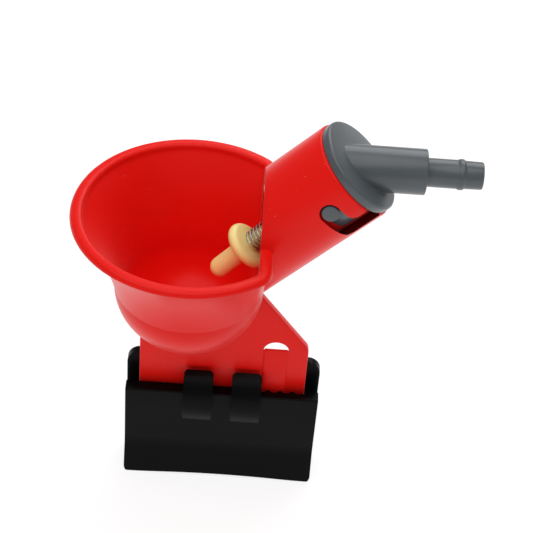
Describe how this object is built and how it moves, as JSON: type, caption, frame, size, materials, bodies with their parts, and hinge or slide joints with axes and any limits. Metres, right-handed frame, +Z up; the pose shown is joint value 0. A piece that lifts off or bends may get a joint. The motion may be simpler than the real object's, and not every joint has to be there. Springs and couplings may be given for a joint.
{
  "type": "poultry nipple drinker",
  "caption": "Clip-on drinking cup for poultry with a spring-loaded peck valve in a slanting bayonet inlet, a hose tail, and a clip for cage wire or a panel edge.",
  "frame": {"origin": "middle of the seat at the top of the clip's panel jaw", "axes": "+X from the cup towards the hose, +Y from the cup's front to the cage side, +Z up"},
  "size_m": [0.1146, 0.0696, 0.1336],
  "materials": {
    "red_moulding": "gloss",
    "black_moulding": "satin",
    "grey_moulding": "satin",
    "yellow_moulding": "satin",
    "white_moulding": "satin",
    "spring_wire": "bright",
    "seal_rubber": "matte"
  },
  "bodies": {
    "clip": {"mounting_clip": "black_moulding"},
    "cup": {"cup_body": "red_moulding"},
    "plug": {"inlet_plug": "grey_moulding", "valve_bush": "white_moulding", "bush_ring": "seal_rubber"},
    "seal": {"valve_seal": "seal_rubber"},
    "stem": {"valve_stem": "yellow_moulding", "stem_cap": "white_moulding", "return_spring": "spring_wire"}
  },
  "joints": [
    {"name": "cup_lift", "type": "slide", "parent": "clip", "child": "cup", "axis": [0, 0, 1], "range_m": [0, 0.016]},
    {"name": "plug_turn", "type": "hinge", "parent": "cup", "child": "plug", "pos_m": [0.008, 0.0008, 0.0821], "axis": [0.6947, 0, 0.7193], "range_deg": [0, 36]},
    {"name": "valve_push", "type": "slide", "parent": "plug", "child": "seal", "axis": [0.6947, 0, 0.7193], "range_m": [0, 0.0025], "stiffness_N_per_m": 250, "springref_m": -0.004, "deforming": ["return_spring"]},
    {"name": "valve_tilt", "type": "hinge", "parent": "seal", "child": "stem", "pos_m": [0.01953, 0.0008, 0.09404], "axis": [0, 1, 0], "range_deg": [-4, 10], "stiffness_Nm_per_rad": 0.04}
  ]
}
